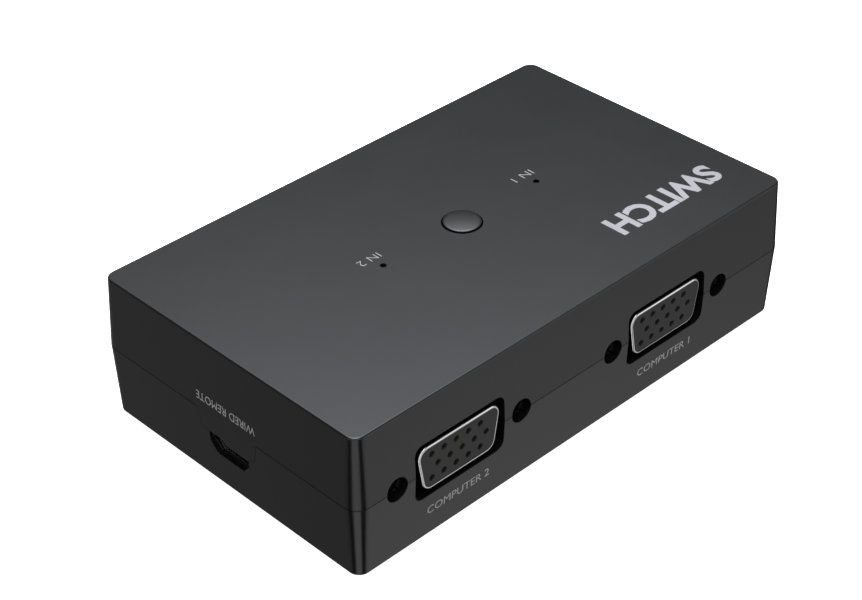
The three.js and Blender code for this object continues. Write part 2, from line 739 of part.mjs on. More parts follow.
function usbBSocket(name) {
  const outer = roundedRectangle(USB_B_WIDTH, USB_B_HEIGHT, USB_A_CORNER);
  const innerWidth = USB_B_WIDTH - 2 * USB_B_METAL;
  const innerHeight = USB_B_HEIGHT - 2 * USB_B_METAL;
  const inner = roundedRectangle(innerWidth, innerHeight, USB_A_CORNER - USB_B_METAL);
  const back = USB_B_LENGTH - USB_B_METAL - TOUCH_GAP;
  const coreShape = roundedRectangle(
    innerWidth - 2 * TOUCH_GAP,
    innerHeight - 2 * TOUCH_GAP,
    USB_A_CORNER - USB_B_METAL,
  );
  const core = prismY(coreShape, USB_B_METAL, back);
  const cavity = prismY(usbBMouth(), -1, USB_B_MOUTH_DEPTH);
  const halfWidth = USB_B_TONGUE_WIDTH / 2;
  const halfHeight = USB_B_TONGUE_HEIGHT / 2;
  const tongue = block(
    [-halfWidth, halfWidth],
    [USB_B_TONGUE_RECESS, USB_B_MOUTH_DEPTH + 1],
    [-halfHeight, halfHeight],
  );
  const group = new THREE.Group();
  group.add(piece(`${name}_shell`, can(outer, inner, USB_B_LENGTH, USB_B_METAL), nickel));
  group.add(piece(`${name}_core`, core.subtract(cavity).add(tongue), blackInsulator));
  return group;
}

// Micro USB outline, wide side up, its lower corners cut off, moved inwards by the inset.
function microOutline(inset) {
  const rows = [
    [MICRO_BOTTOM_WIDTH / 2 - inset / 2, inset],
    [MICRO_TOP_WIDTH / 2 - inset, MICRO_SIDE_HEIGHT],
    [MICRO_TOP_WIDTH / 2 - inset, MICRO_HEIGHT - inset],
  ];
  return roundedPolygon(mirroredCorners(rows), MICRO_METAL);
}

function microSocket(name) {
  const back = MICRO_LENGTH - MICRO_METAL - TOUCH_GAP;
  const half = MICRO_TONGUE_WIDTH / 2;
  const tongueTop = MICRO_HEIGHT - 2 * MICRO_METAL - TOUCH_GAP;
  const tongueBottom = tongueTop - MICRO_TONGUE_THICKNESS;
  const tongue = block([-half, half], [MICRO_TONGUE_RECESS, back], [tongueBottom, tongueTop]);
  const base = block(
    [-half, half],
    [back - MICRO_BLOCK_LENGTH, back],
    [MICRO_METAL + TOUCH_GAP, tongueTop],
  );
  const outer = microOutline(0);
  const wings = block(
    [-MICRO_WING_SPAN / 2, MICRO_WING_SPAN / 2],
    MICRO_WING,
    [MICRO_SINK, MICRO_SINK + MICRO_METAL],
  );
  const inside = prismY(microOutline(MICRO_METAL), -1, MICRO_LENGTH - MICRO_METAL);
  const shell = prismY(outer, 0, MICRO_LENGTH).add(wings).subtract(inside);
  const group = new THREE.Group();
  group.add(piece(`${name}_shell`, shell, steel));
  group.add(piece(`${name}_tongue`, tongue.add(base), blackInsulator));
  return group;
}

// ---------------------------------------------------------------- button and indicators

function buttonCap() {
  const crownRadius = (BUTTON_RADIUS ** 2 + BUTTON_CROWN ** 2) / (2 * BUTTON_CROWN);
  const crownCentre = CASE_TOP + BUTTON_RISE + BUTTON_CROWN - crownRadius;
  const rim = Math.asin(BUTTON_RADIUS / crownRadius);
  const crown = Array.from({ length: CROWN_STEPS + 1 }, (_, i) => {
    const angle = rim * (1 - i / CROWN_STEPS);
    return [crownRadius * Math.sin(angle), crownCentre + crownRadius * Math.cos(angle)];
  });
  const flangeTop = CEILING - TOUCH_GAP;
  const flangeBottom = flangeTop - BUTTON_FLANGE_THICKNESS;
  const stemBottom = BOARD_TOP + PLUNGER_HEIGHT + TOUCH_GAP;
  return turned(
    [
      [0, stemBottom],
      [BUTTON_STEM_RADIUS, stemBottom],
      [BUTTON_STEM_RADIUS, flangeBottom],
      [BUTTON_FLANGE_RADIUS, flangeBottom],
      [BUTTON_FLANGE_RADIUS, flangeTop],
      [BUTTON_RADIUS, flangeTop],
      ...crown,
    ],
    BUTTON_STEPS,
  );
}

function switchBase() {
  const half = SWITCH_SIZE / 2;
  const body = block([-half, half], [-half, half], [0, SWITCH_BODY_HEIGHT]);
  return body.subtract(post(SWITCH_WELL_RADIUS, SWITCH_FLOOR, SWITCH_BODY_HEIGHT + 1));
}

function switchCover() {
  const half = SWITCH_SIZE / 2;
  const top = SWITCH_BODY_HEIGHT + SWITCH_COVER_THICKNESS;
  const plate = block([-half, half], [-half, half], [SWITCH_BODY_HEIGHT, top]);
  return plate.subtract(post(SWITCH_COVER_HOLE, 0, top + 1));
}

function switchPlunger() {
  const footTop = PLUNGER_FOOT_BOTTOM + PLUNGER_FOOT_HEIGHT;
  return turned([
    [0, PLUNGER_FOOT_BOTTOM],
    [PLUNGER_FOOT_RADIUS, PLUNGER_FOOT_BOTTOM],
    [PLUNGER_FOOT_RADIUS, footTop],
    [PLUNGER_RADIUS, footTop],
    [PLUNGER_RADIUS, PLUNGER_HEIGHT],
    [0, PLUNGER_HEIGHT],
  ]);
}

// Snap dome under the plunger: a thin spherical cap that stands on its rim.
function switchDome() {
  const steps = 5;
  const bottom = SWITCH_FLOOR + TOUCH_GAP;
  const rise = DOME_RISE + TOUCH_GAP;
  const arc = (radius, height) =>
    Array.from({ length: steps + 1 }, (_, i) => {
      const share = i / steps;
      return [radius * share, bottom + height * (1 - share ** 2)];
    });
  const inner = arc(DOME_RADIUS - DOME_THICKNESS, rise - DOME_THICKNESS);
  const outer = arc(DOME_RADIUS, rise);
  return turned([...inner, ...outer.reverse()]);
}

function lightPipe() {
  const bottom = BOARD_TOP + LED_SIZE[2] + PIPE_END_GAP;
  return post(PIPE_RADIUS, bottom, CEILING - TOUCH_GAP);
}

// ---------------------------------------------------------------- board and its components

function circuitBoard() {
  const outline = roundedRectangle(BOARD_LENGTH, BOARD_WIDTH, BOARD_CORNER);
  const board = prismZ(outline, BOARD_BOTTOM, BOARD_TOP);
  const holes = STANDOFF_PLACES.map((place) => post(BOARD_HOLE_RADIUS, 0, PARTING, place));
  const notch = block(
    [-CASE_LENGTH / 2, MICRO_MOUTH_X + MICRO_LENGTH + TOUCH_GAP],
    [MICRO_Y - MICRO_NOTCH_WIDTH / 2, MICRO_Y + MICRO_NOTCH_WIDTH / 2],
    [BOARD_BOTTOM - 1, BOARD_TOP + 1],
  );
  return cutAll(board, [...holes, notch]);
}

// Package body with its upper edges sloped, standing on the board.
function chip([length, width, height]) {
  const slope = height / 6;
  const level = (inset, z) => ({
    z,
    points: rectangleCorners(length - 2 * inset, width - 2 * inset),
  });
  return loft([level(slope, 0), level(0, height / 2), level(slope, height)]);
}

// Electrolytic can with the groove near its foot.
function capacitor(radius, height) {
  const groove = radius * 0.1;
  return turned([
    [0, 0],
    [radius, 0],
    [radius, height * 0.2],
    [radius - groove, height * 0.25],
    [radius, height * 0.3],
    [radius, height - groove],
    [radius - groove, height],
    [0, height],
  ]);
}

function crystal([length, width, height]) {
  return prismZ(roundedRectangle(length, width, width / 2 - TOUCH_GAP), 0, height);
}

const BOARD_PIECES = [
  { name: "video_switch_chip", at: [-27, -4.5], shape: chip([10, 10, 1.4]), material: chipBlack },
  { name: "usb_hub_chip", at: [-16.2, 8.2], shape: chip([7, 7, 1.4]), material: chipBlack },
  { name: "controller_chip", at: [12, -7.5], shape: chip([9.9, 3.9, 1.5]), material: chipBlack },
  { name: "voltage_regulator", at: [-6.5, -6], shape: chip([6.5, 3.5, 1.7]), material: chipBlack },
  { name: "clock_crystal", at: [-28.5, 9], shape: crystal([11, 4.6, 3.5]), material: steel },
  { name: "supply_capacitor", at: [-5.5, 7.5], shape: capacitor(3.15, 5.8), material: zinc },
  { name: "output_capacitor", at: [11.5, 7.5], shape: capacitor(2.5, 5.4), material: zinc },
];

// ---------------------------------------------------------------- assembly

const kvmSwitch = new THREE.Group();

function place(item, x, y, z, turn = 0) {
  item.position.set(x, y, z);
  item.rotation.z = turn;
  kvmSwitch.add(item);
}

place(piece("upper_case", upperCase(), casePlastic), 0, 0, 0);
place(piece("lower_case", lowerCase(), casePlastic), 0, 0, 0);
place(piece("circuit_board", circuitBoard(), boardGreen), 0, 0, 0);

POST_PLACES.forEach(([x, y], i) => {
  place(piece(`case_screw_${i + 1}`, caseScrew(), zinc), x, y, CASE_BOTTOM + SCREW_RECESS_DEPTH);
});
STANDOFF_PLACES.forEach(([x, y], i) => {
  place(piece(`board_screw_${i + 1}`, boardScrew(), zinc), x, y, BOARD_TOP);
});
footPlaces.forEach(([x, y], i) => {
  place(piece(`rubber_foot_${i + 1}`, foot(), rubber), x, y, 0);
});

const frontMouth = CASE_WIDTH / 2 - VGA_MOUTH_DEPTH;
VGA_INPUT_X.forEach((x, i) => {
  place(vgaSocket(`video_input_${i + 1}`), x, -frontMouth, PARTING);
});
place(vgaSocket("video_output"), VGA_OUTPUT_X, frontMouth, PARTING, Math.PI);

USB_A_X.forEach((x, i) => {
  place(usbASocket(`usb_device_${i + 1}`), x, frontMouth, BOARD_TOP + USB_A_HEIGHT / 2, Math.PI);
});
USB_B_Y.forEach((y, i) => {
  const mouth = CASE_LENGTH / 2 - USB_B_MOUTH_INSET;
  place(usbBSocket(`usb_computer_${i + 1}`), mouth, y, BOARD_TOP + USB_B_HEIGHT / 2, Math.PI / 2);
});
const remoteSocket = microSocket("remote_socket");
place(remoteSocket, MICRO_MOUTH_X, MICRO_Y, BOARD_TOP - MICRO_SINK, -Math.PI / 2);

place(piece("button_cap", buttonCap(), buttonPlastic), BUTTON_X, 0, 0);
place(piece("tact_switch_base", switchBase(), blackInsulator), BUTTON_X, 0, BOARD_TOP);
place(piece("tact_switch_cover", switchCover(), steel), BUTTON_X, 0, BOARD_TOP);
place(piece("tact_switch_plunger", switchPlunger(), blackInsulator), BUTTON_X, 0, BOARD_TOP);
place(piece("tact_switch_dome", switchDome(), steel), BUTTON_X, 0, BOARD_TOP);

indicatorPlaces.forEach(([x, y], i) => {
  const [length, width, height] = LED_SIZE;
  const led = block([-length / 2, length / 2], [-width / 2, width / 2], [0, height]);
  place(piece(`light_pipe_${2 - i}`, lightPipe(), clearPlastic), x, y, 0);
  place(piece(`indicator_led_${2 - i}`, led, ledWhite), x, y, BOARD_TOP);
});

for (const { name, at, shape, material } of BOARD_PIECES) {
  place(piece(name, shape, material), ...at, BOARD_TOP);
}

export default kvmSwitch;
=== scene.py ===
"""Looks of a two-computer KVM switch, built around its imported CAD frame. Metres, +Z up."""
import json
import math

import bmesh
import bpy
from mathutils import Matrix, Vector
from mathutils.bvhtree import BVHTree


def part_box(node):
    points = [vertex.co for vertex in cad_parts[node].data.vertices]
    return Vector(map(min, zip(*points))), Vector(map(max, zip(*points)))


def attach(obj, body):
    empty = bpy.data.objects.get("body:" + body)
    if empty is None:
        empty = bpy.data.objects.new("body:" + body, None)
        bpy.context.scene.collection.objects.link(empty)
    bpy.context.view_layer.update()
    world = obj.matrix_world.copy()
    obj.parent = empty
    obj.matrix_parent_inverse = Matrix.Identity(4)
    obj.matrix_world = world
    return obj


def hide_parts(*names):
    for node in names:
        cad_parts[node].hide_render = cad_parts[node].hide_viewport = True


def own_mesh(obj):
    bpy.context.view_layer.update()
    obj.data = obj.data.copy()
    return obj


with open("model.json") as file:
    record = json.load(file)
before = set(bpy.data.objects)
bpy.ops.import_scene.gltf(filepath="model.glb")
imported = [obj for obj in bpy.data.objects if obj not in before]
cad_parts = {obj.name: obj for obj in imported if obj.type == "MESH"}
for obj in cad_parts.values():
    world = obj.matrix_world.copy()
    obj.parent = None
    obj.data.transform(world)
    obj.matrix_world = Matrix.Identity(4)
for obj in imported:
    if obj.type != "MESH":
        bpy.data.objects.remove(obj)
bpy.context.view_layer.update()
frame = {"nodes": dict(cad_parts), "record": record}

MM = 0.001

# ---------------------------------------------------------------- camera

CAMERA_PLACE = Vector((-186.20, -185.34, 197.99)) * MM
CAMERA_YAW = math.radians(44.342)
CAMERA_PITCH = math.radians(35.392)
CAMERA_ROLL = math.radians(-0.346)
CAMERA_LENS = 85.15
SENSOR_WIDTH = 36.0


def make_camera():
    data = bpy.data.cameras.new("camera")
    data.lens = CAMERA_LENS
    data.sensor_width = SENSOR_WIDTH
    data.clip_start = 0.01
    data.clip_end = 20.0
    camera = bpy.data.objects.new("camera", data)
    forward = Vector((
        math.sin(CAMERA_YAW) * math.cos(CAMERA_PITCH),
        math.cos(CAMERA_YAW) * math.cos(CAMERA_PITCH),
        -math.sin(CAMERA_PITCH),
    ))
    right = Vector((math.cos(CAMERA_YAW), -math.sin(CAMERA_YAW), 0.0))
    up = right.cross(forward)
    rolled_right = right * math.cos(CAMERA_ROLL) + up * math.sin(CAMERA_ROLL)
    rolled_up = up * math.cos(CAMERA_ROLL) - right * math.sin(CAMERA_ROLL)
    turn = Matrix((rolled_right, rolled_up, -forward)).transposed().to_4x4()
    camera.matrix_world = Matrix.Translation(CAMERA_PLACE) @ turn
    bpy.context.scene.collection.objects.link(camera)
    bpy.context.scene.camera = camera


make_camera()

# ---------------------------------------------------------------- node helpers


class Graph:
    """A material or world node tree, with short calls for the nodes used here."""

    def __init__(self, tree):
        self.tree = tree

    def add(self, kind, **values):
        node = self.tree.nodes.new(kind)
        for name, value in values.items():
            setattr(node, name, value)
        return node

    def link(self, start, end):
        self.tree.links.new(start, end)

    def fill(self, sockets, values):
        for socket, value in zip(sockets, values):
            if isinstance(value, bpy.types.NodeSocket):
                self.link(value, socket)
            else:
                socket.default_value = value

    def math(self, operation, *values):
        node = self.add("ShaderNodeMath", operation=operation)
        self.fill(node.inputs, values)
        return node.outputs[0]

    def vector(self, operation, *values):
        node = self.add("ShaderNodeVectorMath", operation=operation)
        self.fill(node.inputs, values)
        return node.outputs["Value" if operation == "DOT_PRODUCT" else "Vector"]

    def noise(self, vector, scale, detail=2.0):
        node = self.add("ShaderNodeTexNoise")
        node.inputs["Scale"].default_value = scale
        node.inputs["Detail"].default_value = detail
        self.link(vector, node.inputs["Vector"])
        return node.outputs[0]

    def smooth(self, value, low, high, start, end):
        node = self.add("ShaderNodeMapRange", interpolation_type="SMOOTHSTEP")
        self.fill(node.inputs, (value, low, high, start, end))
        return node.outputs[0]

    def ramp(self, factor, stops):
        node = self.add("ShaderNodeValToRGB")
        band = node.color_ramp
        while len(band.elements) < len(stops):
            band.elements.new(1.0)
        for element, (position, colour) in zip(band.elements, stops):
            element.position = position
            element.color = (*colour, 1.0)
        self.link(factor, node.inputs[0])
        return node.outputs[0]


def new_material(name):
    material = bpy.data.materials.new(name)
    material.use_nodes = True
    tree = material.node_tree
    shader = tree.nodes["Principled BSDF"]
    return material, Graph(tree), shader


def bump(graph, shader, height, distance):
    node = graph.add("ShaderNodeBump")
    node.inputs["Distance"].default_value = distance
    graph.link(height, node.inputs["Height"])
    graph.link(node.outputs[0], shader.inputs["Normal"])


DRIFT_SIZE = 9 * MM
DRIFT_DETAIL = 3.0
DRIFT_BAND = (0.3, 0.7)
GRAIN_ROUGHNESS = 0.1
ROUGHNESS_SHIFT = 0.08


def grained(name, colour, roughness, grain, depth, metallic=0.0, vary=0.12, uneven=0.06):
    """Material whose colour and roughness drift over some millimetres, with a fine bump.
    grain is the size of the bump's cells and depth their height, both in metres.
    vary is the share that the colour drifts by, and uneven the amount that the roughness does."""
    material, graph, shader = new_material(name)
    place = graph.add("ShaderNodeTexCoord").outputs["Object"]
    shader.inputs["Metallic"].default_value = metallic
    drift = graph.noise(place, 1.0 / DRIFT_SIZE, DRIFT_DETAIL)
    dark = tuple(c * (1 - vary) for c in colour)
    light = tuple(c * (1 + vary) for c in colour)
    stops = list(zip(DRIFT_BAND, (dark, light)))
    graph.link(graph.ramp(drift, stops), shader.inputs["Base Color"])
    fine = graph.noise(place, 1.0 / grain)
    rough = graph.math("MULTIPLY_ADD", fine, GRAIN_ROUGHNESS, roughness - ROUGHNESS_SHIFT)
    graph.link(graph.math("MULTIPLY_ADD", drift, uneven, rough), shader.inputs["Roughness"])
    bump(graph, shader, fine, depth)
    return material


# ---------------------------------------------------------------- materials

MATERIALS = {
    "case_plastic": grained(
        "case_plastic", (0.0042, 0.0043, 0.0046), 0.25, 0.16 * MM, 0.0008 * MM, uneven=0.02,
    ),
    "button_plastic": grained("button_plastic", (0.0045, 0.0046, 0.005), 0.32, 0.12 * MM, 0.0008 * MM),
    "foot_rubber": grained("foot_rubber", (0.012, 0.012, 0.012), 0.85, 0.25 * MM, 0.02 * MM),
    "nickel_plate": grained("nickel_plate", (0.7, 0.7, 0.72), 0.2, 0.3 * MM, 0.001 * MM, metallic=1.0),
    "video_insulator": grained("video_insulator", (0.0165, 0.0165, 0.0155), 0.6, 0.12 * MM, 0.003 * MM),
    "socket_plastic": grained("socket_plastic", (0.008, 0.008, 0.009), 0.5, 0.15 * MM, 0.004 * MM),
    "spring_steel": grained("spring_steel", (0.55, 0.56, 0.57), 0.3, 0.2 * MM, 0.001 * MM, metallic=1.0),
    "screw_zinc": grained("screw_zinc", (0.5, 0.51, 0.53), 0.35, 0.1 * MM, 0.002 * MM, metallic=1.0),
    "board_laminate": grained("board_laminate", (0.008, 0.06, 0.028), 0.35, 0.5 * MM, 0.01 * MM),
    "chip_plastic": grained("chip_plastic", (0.012, 0.012, 0.013), 0.5, 0.1 * MM, 0.006 * MM),
    "can_metal": grained("can_metal", (0.62, 0.62, 0.63), 0.28, 0.2 * MM, 0.001 * MM, metallic=1.0),
    "clear_plastic": grained("clear_plastic", (0.8, 0.83, 0.85), 0.15, 0.5 * MM, 0.001 * MM),
    "led_package": grained("led_package", (0.8, 0.76, 0.6), 0.4, 0.2 * MM, 0.004 * MM),
}
PRINT_INK = grained("print_ink", (0.34, 0.34, 0.35), 0.5, 0.2 * MM, 0.002 * MM, vary=0.06)
# Nickel plate painted darker for the jack nuts and their threads: painted shade for the deep holes they
# sit in.
SHADED_JACK_NICKEL = grained("jack_nickel_painted_shade", (0.16, 0.16, 0.165), 0.3, 0.2 * MM, 0.001 * MM, metallic=1.0)
CONTACT_GOLD = grained("contact_gold", (0.72, 0.52, 0.22), 0.25, 0.2 * MM, 0.001 * MM, metallic=1.0)

SLOT_OF = {part["node"]: part["material_slot"] for part in frame["record"]["subparts"]}
BODY_OF = {
    node: body
    for body, members in frame["record"]["behaviour"]["bodies"].items()
    for node in members
}

# ---------------------------------------------------------------- CAD shapes with rounded edges

# How far the edges of each material are rounded, in millimetres.
EDGE_BY_SLOT = {
    "case_plastic": 0.03,
    "button_plastic": 0.06,
    "foot_rubber": 0.15,
    "nickel_plate": 0.07,
    "video_insulator": 0.04,
    "socket_plastic": 0.05,
    "spring_steel": 0.03,
    "screw_zinc": 0.06,
    "board_laminate": 0.03,
    "chip_plastic": 0.04,
    "can_metal": 0.08,
    "clear_plastic": 0.05,
    "led_package": 0.05,
}
SHARP_ANGLE = math.radians(32)
EDGE_SEGMENTS = 2
ROLL_RADIUS = 0.3 * MM
ROLL_SEGMENTS = 5
SAME_POINT = 1e-6
SAME_PLANE = math.radians(0.3)


def show(mesh, material, body):
    """A piece of that mesh, named like it, that rides on the body."""
    piece = bpy.data.objects.new(mesh.name, mesh)
    bpy.context.scene.collection.objects.link(piece)
    mesh.materials.append(material)
    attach(piece, body)
    return piece


def baked(work, name):
    """Mesh of that name from the edit mesh, which is freed."""
    mesh = bpy.data.meshes.new(name)
    work.to_mesh(mesh)
    work.free()
    return mesh


def round_edges(work, edges, radius, segments):
    bmesh.ops.bevel(
        work, geom=edges, offset=radius, offset_type="OFFSET", segments=segments,
        profile=0.5, affect="EDGES", clamp_overlap=True,
    )


def roll_mouth(work):
    """Rounds the outer edge of a D-sub shell's mouth, as its drawn sheet metal is."""
    mouth = max(abs(v.co.y) for v in work.verts)
    rim = [e for e in work.edges if all(abs(v.co.y) > mouth - SAME_POINT for v in e.verts)]
    middle = sum((v.co for e in rim for v in e.verts), Vector()) / (2 * len(rim))

    def faces_out(face):
        is_wall = abs(face.normal.y) < 0.5
        return is_wall and face.normal.dot(face.calc_center_median() - middle) > 0

    outer = [e for e in rim if any(faces_out(face) for face in e.link_faces)]
    round_edges(work, outer, ROLL_RADIUS, ROLL_SEGMENTS)


def refined(node):
    """The CAD node's own shape with its facets joined, its sharp edges rounded and smooth shading."""
    slot = SLOT_OF[node]
    work = bmesh.new()
    work.from_mesh(frame["nodes"][node].data)
    bmesh.ops.remove_doubles(work, verts=work.verts, dist=SAME_POINT)
    bmesh.ops.dissolve_limit(work, angle_limit=SAME_PLANE, verts=work.verts, edges=work.edges)
    if node.startswith("video_") and node.endswith("_shell"):
        roll_mouth(work)
    else:
        sharp = [e for e in work.edges if e.is_manifold and e.calc_face_angle() > SHARP_ANGLE]
        round_edges(work, sharp, EDGE_BY_SLOT[slot] * MM, EDGE_SEGMENTS)
    for face in work.faces:
        face.smooth = True
    for e in work.edges:
        e.smooth = not (e.is_manifold and e.calc_face_angle() > SHARP_ANGLE)
    # Jack nuts take the darker nickel, which is painted shade for their holes.
    material = SHADED_JACK_NICKEL if "jack_nut" in node else MATERIALS[slot]
    piece = show(baked(work, f"{node}_fine"), material, BODY_OF[node])
    modifier = piece.modifiers.new("weighted", "WEIGHTED_NORMAL")
    modifier.keep_sharp = True
    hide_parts(node)
    return piece


fine = {node: refined(node) for node in frame["nodes"]}

DOME = "tact_switch_dome"
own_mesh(fine[DOME])

# ---------------------------------------------------------------- printed lettering

INK_THICKNESS = 0.02 * MM
LETTER_STEPS = 4
LABEL_LEVEL = 5.1 * MM
LABEL_HEIGHT = 1.4 * MM
UP = Vector((0, 0, 1))
DOWN = -UP
TO_FRONT = Vector((0, -1, 0))
TO_BACK = -TO_FRONT
TO_RIGHT = Vector((1, 0, 0))
TO_LEFT = -TO_RIGHT
OUTSIDE = 200 * MM


def surface_point(node, place, facing, reach=OUTSIDE):
    """Where the CAD node is met from a distance of reach before the place, and its normal there."""
    mesh = frame["nodes"][node].data
    tree = BVHTree.FromPolygons(
        [v.co for v in mesh.vertices], [tuple(p.vertices) for p in mesh.polygons]
    )
    point, normal, _, _ = tree.ray_cast(place + facing * reach, -facing)
    return point, normal


def lettering(name, words, weight):
    """Thin closed mesh of the words, one unit high, from Blender's own font."""
    curve = bpy.data.curves.new(name, "FONT")
    curve.body = words
    curve.offset = weight
    curve.resolution_u = LETTER_STEPS
    curve.extrude = 0.5
    text = bpy.data.objects.new(name, curve)
    bpy.context.scene.collection.objects.link(text)
    shaped = text.evaluated_get(bpy.context.evaluated_depsgraph_get())
    mesh = bpy.data.meshes.new_from_object(shaped)
    bpy.data.objects.remove(text)
    bpy.data.curves.remove(curve)
    work = bmesh.new()
    work.from_mesh(mesh)
    bmesh.ops.remove_doubles(work, verts=work.verts, dist=10 * SAME_POINT)
    work.to_mesh(mesh)
    work.free()
    mesh.name = name
    return mesh


def printed(name, words, node, place, facing, up, length, height, weight=0.0):
    """Words printed on a node's outer face, stretched to the length and height."""
    mesh = lettering(name, words, weight)
    point, normal = surface_point(node, place, facing)
    across = (up - normal * up.dot(normal)).normalized()
    right = across.cross(normal)
    corners = [[v.co[axis] for v in mesh.vertices] for axis in (0, 1)]
    middle = [(min(c) + max(c)) / 2 for c in corners]
    spread = [max(c) - min(c) for c in corners]
    for v in mesh.vertices:
        along = (v.co.x - middle[0]) * length / spread[0]
        high = (v.co.y - middle[1]) * height / spread[1]
        v.co = point + right * along + across * high + normal * v.co.z * INK_THICKNESS
    return show(mesh, PRINT_INK, "case")


TITLE_X = 28.9 * MM
TITLE_Y = -17.75 * MM
TITLE_LENGTH = 24.3 * MM
TITLE_HEIGHT = 5.1 * MM
TITLE_WEIGHT = 0.035
INDICATOR_NAME_X = (18.1 * MM, -15.5 * MM)
INDICATOR_NAME_Y = 2.6 * MM
INDICATOR_NAME_LENGTH = 4.1 * MM
INDICATOR_NAME_HEIGHT = 1.45 * MM
INDICATOR_NAME_WEIGHT = -0.016
VIDEO_INPUT_LABEL_X = (18.7 * MM, -26.95 * MM)
VIDEO_OUTPUT_LABEL_X = 27.6 * MM
REMOTE_LABEL_Y = -0.45 * MM
REMOTE_LABEL_LEVEL = 15.3 * MM


def print_top():
    """The title, and a name beside each indicator, which are read from the back of the object."""
    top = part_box("upper_case")[1][2]
    printed(
        "print_title", "SWITCH", "upper_case", Vector((TITLE_X, TITLE_Y, top)),
        UP, TO_FRONT, TITLE_LENGTH, TITLE_HEIGHT, TITLE_WEIGHT,
    )
    for number, x in enumerate(INDICATOR_NAME_X, 1):
        printed(
            f"print_indicator_{number}", f"IN {number}", "upper_case",
            Vector((x, INDICATOR_NAME_Y, top)), UP, TO_FRONT,
            INDICATOR_NAME_LENGTH, INDICATOR_NAME_HEIGHT, INDICATOR_NAME_WEIGHT,
        )


def print_sides():
    """A label at each socket. The remote socket's is upside down."""
    for number, x in enumerate(VIDEO_INPUT_LABEL_X, 1):
        printed(
            f"print_video_input_{number}", f"COMPUTER {number}", "lower_case",
            Vector((x, 0, LABEL_LEVEL)), TO_FRONT, UP, 12.6 * MM, LABEL_HEIGHT,
        )
    printed(
        "print_remote", "WIRED REMOTE", "upper_case",
        Vector((0, REMOTE_LABEL_Y, REMOTE_LABEL_LEVEL)), TO_LEFT, DOWN, 13.1 * MM, LABEL_HEIGHT,
    )
    printed(
        "print_video_output", "SCREEN", "lower_case",
        Vector((VIDEO_OUTPUT_LABEL_X, 0, LABEL_LEVEL)), TO_BACK, UP, 8 * MM, LABEL_HEIGHT,
    )
    for number in (1, 2, 3):
        low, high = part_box(f"usb_device_{number}_shell")
        printed(
            f"print_device_{number}", f"DEVICE {number}", "lower_case",
            Vector(((low[0] + high[0]) / 2, 0, LABEL_LEVEL)), TO_BACK, UP, 9 * MM, LABEL_HEIGHT,
        )
    for number in (1, 2):
        low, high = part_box(f"usb_computer_{number}_shell")
        printed(
            f"print_computer_{number}", f"COMPUTER {number}", "lower_case",
            Vector((0, (low[1] + high[1]) / 2, LABEL_LEVEL)), TO_RIGHT, UP, 11.5 * MM, LABEL_HEIGHT,
        )


print_top()
print_sides()

# ---------------------------------------------------------------- threads, contacts and leads

THREAD_PITCH = 0.635 * MM
THREAD_TURNS = 5
THREAD_STEPS = 24
THREAD_ROOT = 1.33 * MM
THREAD_CREST = 1.08 * MM
THREAD_START = 0.6
THREAD_FILL = 0.9


def loft(work, rings):
    """Closed skin over rings of vertices that all have the same count."""
    count = len(rings[0])
    for first, second in zip(rings, rings[1:]):
        for i in range(count):
            j = (i + 1) % count
            work.faces.new((first[i], first[j], second[j], second[i]))
    work.faces.new(reversed(rings[0]))
    work.faces.new(rings[-1])
    bmesh.ops.recalc_face_normals(work, faces=work.faces)


def thread(nut):
    """Screw thread inside a jack nut: a helical ridge of triangular section, from near its face."""
    low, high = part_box(nut)
    outward = TO_FRONT if low[1] < 0 else TO_BACK
    face = low[1] if low[1] < 0 else high[1]
    centre = Vector(((low[0] + high[0]) / 2, face, (low[2] + high[2]) / 2))
    section = [(THREAD_ROOT, -0.5), (THREAD_CREST, 0.0), (THREAD_ROOT, 0.5)]
    work = bmesh.new()
    rings = []
    for step in range(THREAD_TURNS * THREAD_STEPS + 1):
        angle = 2 * math.pi * step / THREAD_STEPS
        depth = (THREAD_START + step / THREAD_STEPS) * THREAD_PITCH
        sideways = Vector((math.cos(angle), 0, math.sin(angle)))
        ring = []
        for radius, share in section:
            spot = centre - outward * (depth + share * THREAD_PITCH * THREAD_FILL)
            ring.append(work.verts.new(spot + sideways * radius))
        rings.append(ring)
    loft(work, rings)
    # The thread takes the same darker nickel, which is painted shade.
    show(baked(work, f"{nut}_thread"), SHADED_JACK_NICKEL, "case")


STRIP_CHAMFER = 0.2


def strip(name, path, side, width, thickness, material):
    """Closed mesh of a bent metal strip. side is the unit vector along its width."""
    work = bmesh.new()
    rings = []
    for i, spot in enumerate(path):
        ahead = path[min(i + 1, len(path) - 1)] - path[max(i - 1, 0)]
        out = ahead.cross(side).normalized() * thickness / 2
        across = side * width / 2
        corners = (spot - across - out, spot + across - out, spot + across + out, spot - across + out)
        rings.append([work.verts.new(corner) for corner in corners])
    loft(work, rings)
    runs = [(e, (e.verts[0].co - e.verts[1].co).normalized()) for e in work.edges]
    lengthwise = [e for e, run in runs if abs(run.dot(side)) < 0.5]
    round_edges(work, lengthwise, thickness * STRIP_CHAMFER, 1)
    show(baked(work, name), material, "case")


# Side view of a spring contact: share of its length, and height over the tongue in millimetres.
CONTACT_SHAPE = [(-0.04, 0.0), (0.03, 0.05), (0.2, 0.06), (0.32, 0.16), (0.44, 0.06), (1.0, 0.05)]
CONTACT_THICKNESS = 0.08 * MM


def spring_contact(name, start, inward, out, side, length, width):
    """Gold contact that lies on a tongue, with its nose bent down and a raised wiping bow."""
    path = [start + inward * length * along + out * height * MM for along, height in CONTACT_SHAPE]
    strip(name, path, side, width, CONTACT_THICKNESS, CONTACT_GOLD)


TYPE_A_PITCH = 2.25 * MM
TYPE_A_SETBACK = 0.9 * MM
TYPE_A_LENGTHS = (6.4 * MM, 7.4 * MM)
TYPE_A_WIDTH = 1.0 * MM


